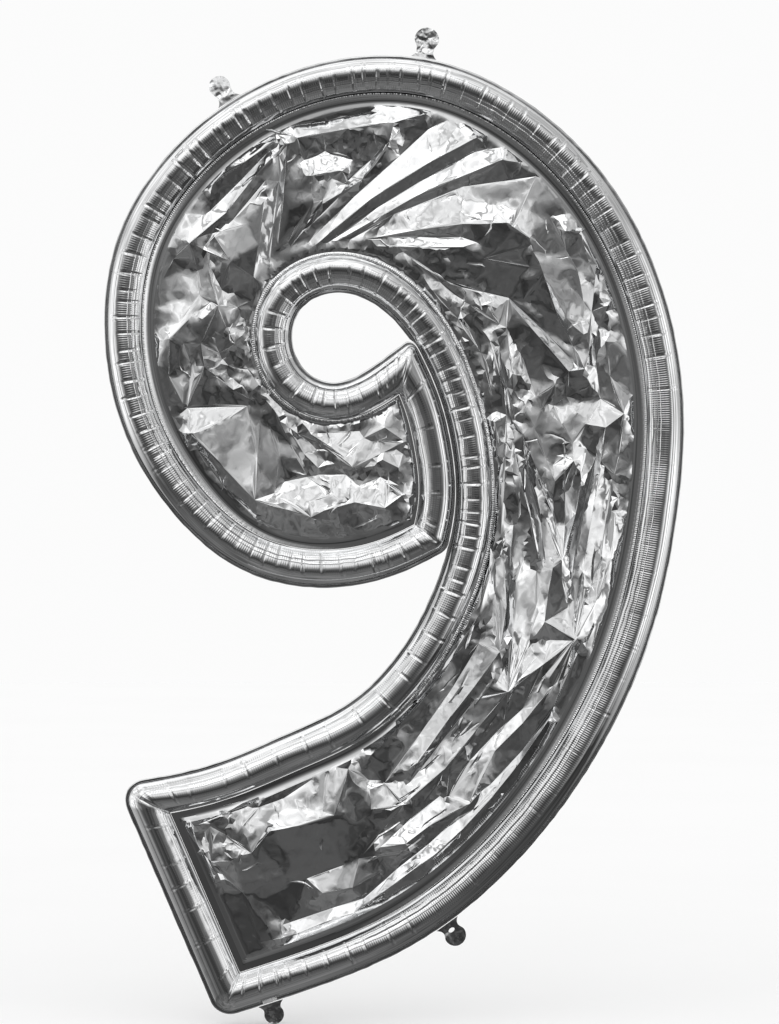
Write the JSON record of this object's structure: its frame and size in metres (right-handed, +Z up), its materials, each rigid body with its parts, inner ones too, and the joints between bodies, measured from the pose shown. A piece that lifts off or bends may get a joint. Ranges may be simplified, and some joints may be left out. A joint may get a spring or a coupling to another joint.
{
  "type": "foil number balloon",
  "caption": "Inflated foil number balloon in the shape of a 9: a welded rim tube round a slack crumpled foil web, with hinged hanging tabs and a filling tail.",
  "frame": {"origin": "centre of the whole balloon's bounding box, on the plane where the front and back sheets meet", "axes": "+Z up the number, +X to the right of someone who reads it, -Y out of the front; the sheets' weld lies in Y = 0"},
  "size_m": [0.5056, 0.03, 0.869],
  "materials": {
    "foil": "mirror-bright metallised film, creased and puckered",
    "heat_seal": "flattened, slightly dulled foil with a fine sealing pattern",
    "tab_foil": "creased two-ply foil, less bright than the body",
    "valve_film": "clear polyethylene film"
  },
  "bodies": {
    "balloon": {"front_rim_film": "foil", "back_rim_film": "foil", "front_web_film": "foil", "back_web_film": "foil", "outer_heat_seal": "heat_seal", "inner_heat_seal": "heat_seal", "valve_front_film": "valve_film", "valve_back_film": "valve_film"},
    "top_left_tab": {"hanging_tab_top_left": "tab_foil"},
    "top_right_tab": {"hanging_tab_top_right": "tab_foil"},
    "lower_right_tab": {"hanging_tab_lower_right": "tab_foil"},
    "inflation_tail": {"tail_back_ply": "tab_foil"},
    "tail_mouth_ply": {"tail_front_ply": "tab_foil"}
  },
  "joints": [
    {"name": "top_left_tab_fold", "type": "hinge", "parent": "balloon", "child": "top_left_tab", "pos_m": [-0.14363, 0, 0.36967], "axis": [0.8397, 0, 0.5431], "range_deg": [-90, 90]},
    {"name": "top_right_tab_fold", "type": "hinge", "parent": "balloon", "child": "top_right_tab", "pos_m": [0.0257, 0, 0.40732], "axis": [0.9866, 0, -0.1634], "range_deg": [-90, 90]},
    {"name": "lower_right_tab_fold", "type": "hinge", "parent": "balloon", "child": "lower_right_tab", "pos_m": [0.04584, 0, -0.34672], "axis": [-0.8135, 0, -0.5816], "range_deg": [-90, 90]},
    {"name": "inflation_tail_fold", "type": "hinge", "parent": "balloon", "child": "inflation_tail", "pos_m": [-0.10792, 0, -0.41597], "axis": [0.9518, 0, 0.3066], "range_deg": [-75, 75]},
    {"name": "tail_mouth_opening", "type": "hinge", "parent": "inflation_tail", "child": "tail_mouth_ply", "pos_m": [-0.10792, 0, -0.41597], "axis": [-0.9518, 0, -0.3066], "range_deg": [0, 30]}
  ]
}
